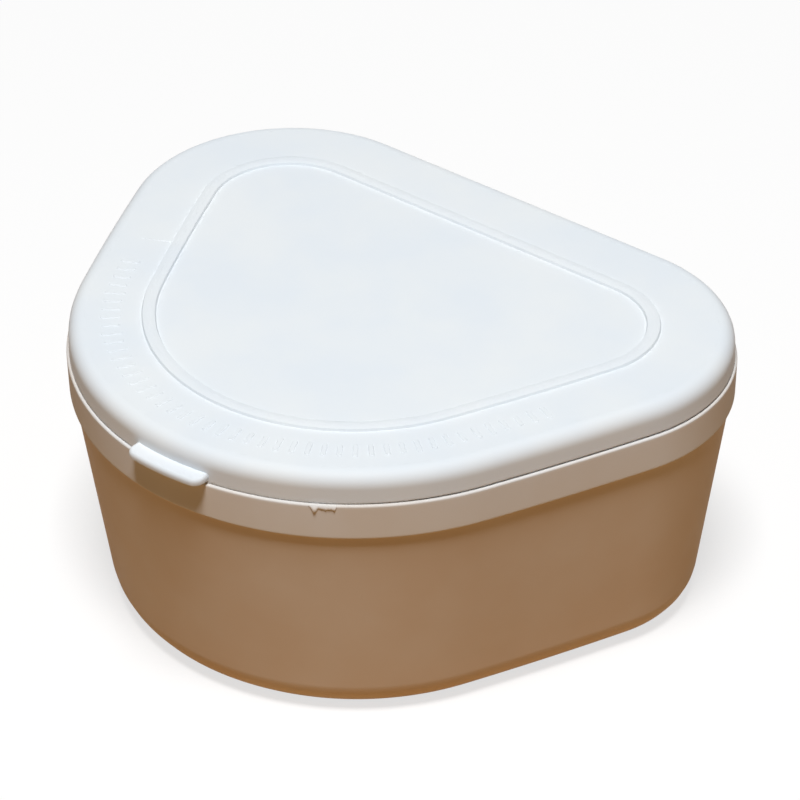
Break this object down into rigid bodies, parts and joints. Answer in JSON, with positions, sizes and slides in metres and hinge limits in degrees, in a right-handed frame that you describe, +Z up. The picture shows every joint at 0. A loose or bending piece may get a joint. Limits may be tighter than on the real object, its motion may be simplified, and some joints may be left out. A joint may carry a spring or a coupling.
{
  "type": "denture case",
  "caption": "Hinged denture case: a tapered, round-cornered triangular tub with a rim band, and a shallow lid with a rib-framed centre panel and a thumb tab, on a pin hinge.",
  "frame": {"origin": "on the surface that the case stands on, in the middle of its overall width and depth (thumb tab and hinge included)", "axes": "+X across the case, the longest extent; -Y the front with the thumb tab, +Y the hinge side; +Z up, the shortest extent"},
  "size_m": [0.1, 0.0866, 0.0447],
  "materials": {
    "tub_plastic": "satin moulded polypropylene, light tan",
    "lid_plastic": "satin moulded polypropylene, cool white",
    "pin_steel": "drawn stainless wire"
  },
  "bodies": {
    "tub": {"tub": "tub_plastic", "hinge_pin": "pin_steel"},
    "lid": {"lid": "lid_plastic"}
  },
  "joints": [
    {"name": "lid_hinge", "type": "hinge", "parent": "tub", "child": "lid", "pos_m": [0, 0.04155, 0.0378], "axis": [-1, 0, 0], "range_deg": [0, 200]}
  ]
}
